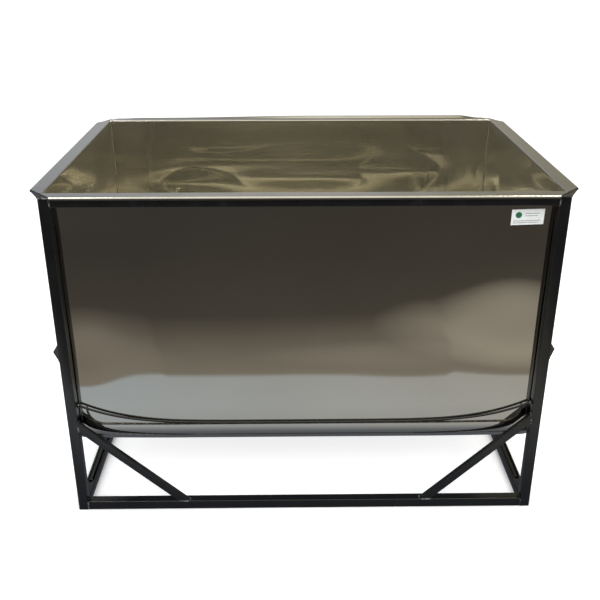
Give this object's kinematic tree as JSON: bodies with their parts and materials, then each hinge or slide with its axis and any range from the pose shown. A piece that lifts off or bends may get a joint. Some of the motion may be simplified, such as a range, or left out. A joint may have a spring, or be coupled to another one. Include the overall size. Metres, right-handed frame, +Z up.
{
  "type": "open-top milk tank on stand",
  "caption": "Open-top rectangular stainless tank with a turned-out rim, hung in a welded square-tube stand, with a bottom outlet valve.",
  "frame": {"origin": "on the floor, under the middle of the stand", "axes": "+Z up, +Y from the front wall to the rear wall, +X along the long side, to the right seen from the front"},
  "size_m": [1.268, 0.85, 0.866],
  "materials": {
    "stand_paint": "semi-gloss",
    "tank_steel": "mirror",
    "valve_steel": "satin",
    "label_film": "gloss",
    "seat_plastic": "matte",
    "grip_vinyl": "satin"
  },
  "bodies": {
    "stand": {"leg_front_left": "stand_paint", "leg_front_right": "stand_paint", "leg_rear_left": "stand_paint", "leg_rear_right": "stand_paint", "top_rail_front": "stand_paint", "top_rail_rear": "stand_paint", "bottom_rail_front": "stand_paint", "bottom_rail_rear": "stand_paint", "bottom_rail_left": "stand_paint", "bottom_rail_right": "stand_paint", "side_rail_top_left": "stand_paint", "side_rail_top_right": "stand_paint", "side_rail_middle_left": "stand_paint", "side_rail_middle_right": "stand_paint", "brace_front_left": "stand_paint", "brace_front_right": "stand_paint", "brace_rear_left": "stand_paint", "brace_rear_right": "stand_paint", "wall_rod_front": "stand_paint", "wall_rod_rear": "stand_paint"},
    "tank": {"wall_front": "tank_steel", "wall_rear": "tank_steel", "wall_left": "tank_steel", "wall_right": "tank_steel", "bottom_pan": "tank_steel", "corner_seams": "tank_steel", "label": "label_film", "drain_spud": "valve_steel", "drain_elbow": "valve_steel", "valve_body": "valve_steel", "valve_retainer": "valve_steel", "valve_seats": "seat_plastic", "gland_nut": "valve_steel", "hose_tail": "valve_steel"},
    "valve_handle": {"valve_ball": "valve_steel", "valve_stem": "valve_steel", "valve_lever": "valve_steel", "lever_grip": "grip_vinyl", "lever_nut": "valve_steel"}
  },
  "joints": [
    {"name": "tank_lift", "type": "slide", "parent": "stand", "child": "tank", "axis": [0, 0, 1], "range_m": [0, 0.75]},
    {"name": "valve_turn", "type": "hinge", "parent": "tank", "child": "valve_handle", "pos_m": [0, 0.285, 0.106], "axis": [1, 0, 0], "range_deg": [0, 90]}
  ]
}
